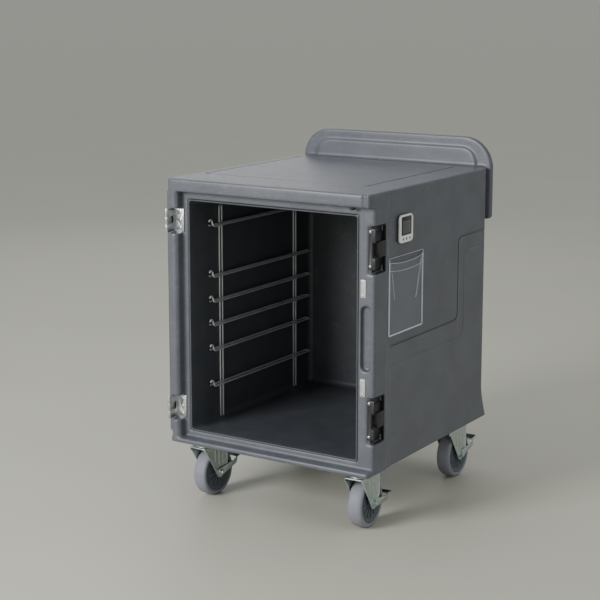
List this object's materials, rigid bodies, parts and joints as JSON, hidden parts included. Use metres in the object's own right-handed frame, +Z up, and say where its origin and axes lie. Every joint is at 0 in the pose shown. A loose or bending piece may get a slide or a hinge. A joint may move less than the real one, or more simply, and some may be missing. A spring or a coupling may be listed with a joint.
{
  "type": "insulated food carrier",
  "caption": "Half-height insulated cabinet on four braked swivel casters, with a hinged latched door, wire pan rails, a side thermometer and a rear push rim.",
  "frame": {"origin": "on the floor, under the middle of the bounding box with the door folded back along the left side", "axes": "+Z up; the doorway faces -Y; +X is to the right of a person looking along +Y into the doorway"},
  "size_m": [0.7778, 0.8148, 1.112],
  "materials": {
    "polyethylene": "fine moulded texture",
    "liner": "matte moulded",
    "foam": "rigid foam",
    "gasket": "matte",
    "stainless": "satin",
    "zinc": "clear zinc plating",
    "nylon": "satin black",
    "white": "satin white",
    "screen": "glossy",
    "clear": "clear vinyl",
    "tread": "matte thermoplastic rubber",
    "hub": "matte"
  },
  "bodies": {
    "cabinet": {"cabinet_shell": "polyethylene", "foam_core": "foam", "inner_liner": "liner", "brow_bumper": "nylon", "document_sleeve": "clear", "left_rail_set": "stainless", "right_rail_set": "stainless", "thermometer_housing": "white", "thermometer_window": "screen", "thermometer_probe": "stainless", "latch_strike_upper": "nylon", "latch_strike_lower": "nylon", "catch_plate_upper": "stainless", "catch_plate_lower": "stainless", "hinge_cabinet_leaf_upper": "stainless", "hinge_cabinet_leaf_lower": "stainless", "hinge_pin_upper": "stainless", "hinge_pin_lower": "stainless", "caster_front_right_plate": "zinc", "caster_front_left_plate": "zinc", "caster_rear_right_plate": "zinc", "caster_rear_left_plate": "zinc"},
    "door": {"door_shell": "polyethylene", "door_foam": "foam", "door_inner_panel": "liner", "door_gasket": "gasket", "hinge_door_leaf_upper": "stainless", "hinge_door_leaf_lower": "stainless", "latch_base_upper": "nylon", "latch_base_lower": "nylon"},
    "latch_upper": {"latch_lever_upper": "nylon"},
    "latch_lower": {"latch_lever_lower": "nylon"},
    "button_1": {"thermometer_button_1": "nylon"},
    "button_2": {"thermometer_button_2": "nylon"},
    "button_3": {"thermometer_button_3": "nylon"},
    "caster_front_right": {"caster_front_right_fork": "zinc", "caster_front_right_axle": "zinc"},
    "wheel_front_right": {"caster_front_right_tread": "tread", "caster_front_right_hub": "hub"},
    "pedal_front_right": {"caster_front_right_pedal": "zinc"},
    "caster_front_left": {"caster_front_left_fork": "zinc", "caster_front_left_axle": "zinc"},
    "wheel_front_left": {"caster_front_left_tread": "tread", "caster_front_left_hub": "hub"},
    "pedal_front_left": {"caster_front_left_pedal": "zinc"},
    "caster_rear_right": {"caster_rear_right_fork": "zinc", "caster_rear_right_axle": "zinc"},
    "wheel_rear_right": {"caster_rear_right_tread": "tread", "caster_rear_right_hub": "hub"},
    "pedal_rear_right": {"caster_rear_right_pedal": "zinc"},
    "caster_rear_left": {"caster_rear_left_fork": "zinc", "caster_rear_left_axle": "zinc"},
    "wheel_rear_left": {"caster_rear_left_tread": "tread", "caster_rear_left_hub": "hub"},
    "pedal_rear_left": {"caster_rear_left_pedal": "zinc"}
  },
  "joints": [
    {"name": "door_hinge", "type": "hinge", "parent": "cabinet", "child": "door", "pos_m": [-0.3319, -0.40193, 0.6], "axis": [0, 0, 1], "range_deg": [0, 270]},
    {"name": "latch_upper_turn", "type": "hinge", "parent": "door", "child": "latch_upper", "pos_m": [-0.3389, 0.27727, 0.856], "axis": [0, 0, 1], "range_deg": [-10, 3.5]},
    {"name": "latch_lower_turn", "type": "hinge", "parent": "door", "child": "latch_lower", "pos_m": [-0.3389, 0.27727, 0.353], "axis": [0, 0, 1], "range_deg": [-10, 3.5]},
    {"name": "button_1_press", "type": "slide", "parent": "cabinet", "child": "button_1", "axis": [-1, 0, 0], "range_m": [0, 0.0015], "stiffness_N_per_m": 300},
    {"name": "button_2_press", "type": "slide", "parent": "cabinet", "child": "button_2", "axis": [-1, 0, 0], "range_m": [0, 0.0015], "stiffness_N_per_m": 300},
    {"name": "button_3_press", "type": "slide", "parent": "cabinet", "child": "button_3", "axis": [-1, 0, 0], "range_m": [0, 0.0015], "stiffness_N_per_m": 300},
    {"name": "swivel_front_right", "type": "hinge", "parent": "cabinet", "child": "caster_front_right", "pos_m": [0.3056, -0.31793, 0.1737], "axis": [0, 0, 1], "continuous": true},
    {"name": "wheel_front_right_spin", "type": "hinge", "parent": "caster_front_right", "child": "wheel_front_right", "pos_m": [0.30361, -0.27998, 0.076], "axis": [0.9986, 0.0523, 0], "continuous": true},
    {"name": "pedal_front_right_press", "type": "hinge", "parent": "caster_front_right", "child": "pedal_front_right", "pos_m": [0.30361, -0.27998, 0.076], "axis": [0.9986, 0.0523, 0], "range_deg": [0, 16]},
    {"name": "swivel_front_left", "type": "hinge", "parent": "cabinet", "child": "caster_front_left", "pos_m": [-0.2564, -0.31793, 0.1737], "axis": [0, 0, 1], "continuous": true},
    {"name": "wheel_front_left_spin", "type": "hinge", "parent": "caster_front_left", "child": "wheel_front_left", "pos_m": [-0.25507, -0.27995, 0.076], "axis": [0.9994, -0.0349, 0], "continuous": true},
    {"name": "pedal_front_left_press", "type": "hinge", "parent": "caster_front_left", "child": "pedal_front_left", "pos_m": [-0.25507, -0.27995, 0.076], "axis": [0.9994, -0.0349, 0], "range_deg": [-16, 0]},
    {"name": "swivel_rear_right", "type": "hinge", "parent": "cabinet", "child": "caster_rear_right", "pos_m": [0.3056, 0.25207, 0.1737], "axis": [0, 0, 1], "continuous": true},
    {"name": "wheel_rear_right_spin", "type": "hinge", "parent": "caster_rear_right", "child": "wheel_rear_right", "pos_m": [0.3056, 0.29007, 0.076], "axis": [1, 0, 0], "continuous": true},
    {"name": "pedal_rear_right_press", "type": "hinge", "parent": "caster_rear_right", "child": "pedal_rear_right", "pos_m": [0.3056, 0.29007, 0.076], "axis": [1, 0, 0], "range_deg": [-16, 0]},
    {"name": "swivel_rear_left", "type": "hinge", "parent": "cabinet", "child": "caster_rear_left", "pos_m": [-0.2564, 0.25207, 0.1737], "axis": [0, 0, 1], "continuous": true},
    {"name": "wheel_rear_left_spin", "type": "hinge", "parent": "caster_rear_left", "child": "wheel_rear_left", "pos_m": [-0.2564, 0.29007, 0.076], "axis": [1, 0, 0], "continuous": true},
    {"name": "pedal_rear_left_press", "type": "hinge", "parent": "caster_rear_left", "child": "pedal_rear_left", "pos_m": [-0.2564, 0.29007, 0.076], "axis": [1, 0, 0], "range_deg": [-16, 0]}
  ]
}
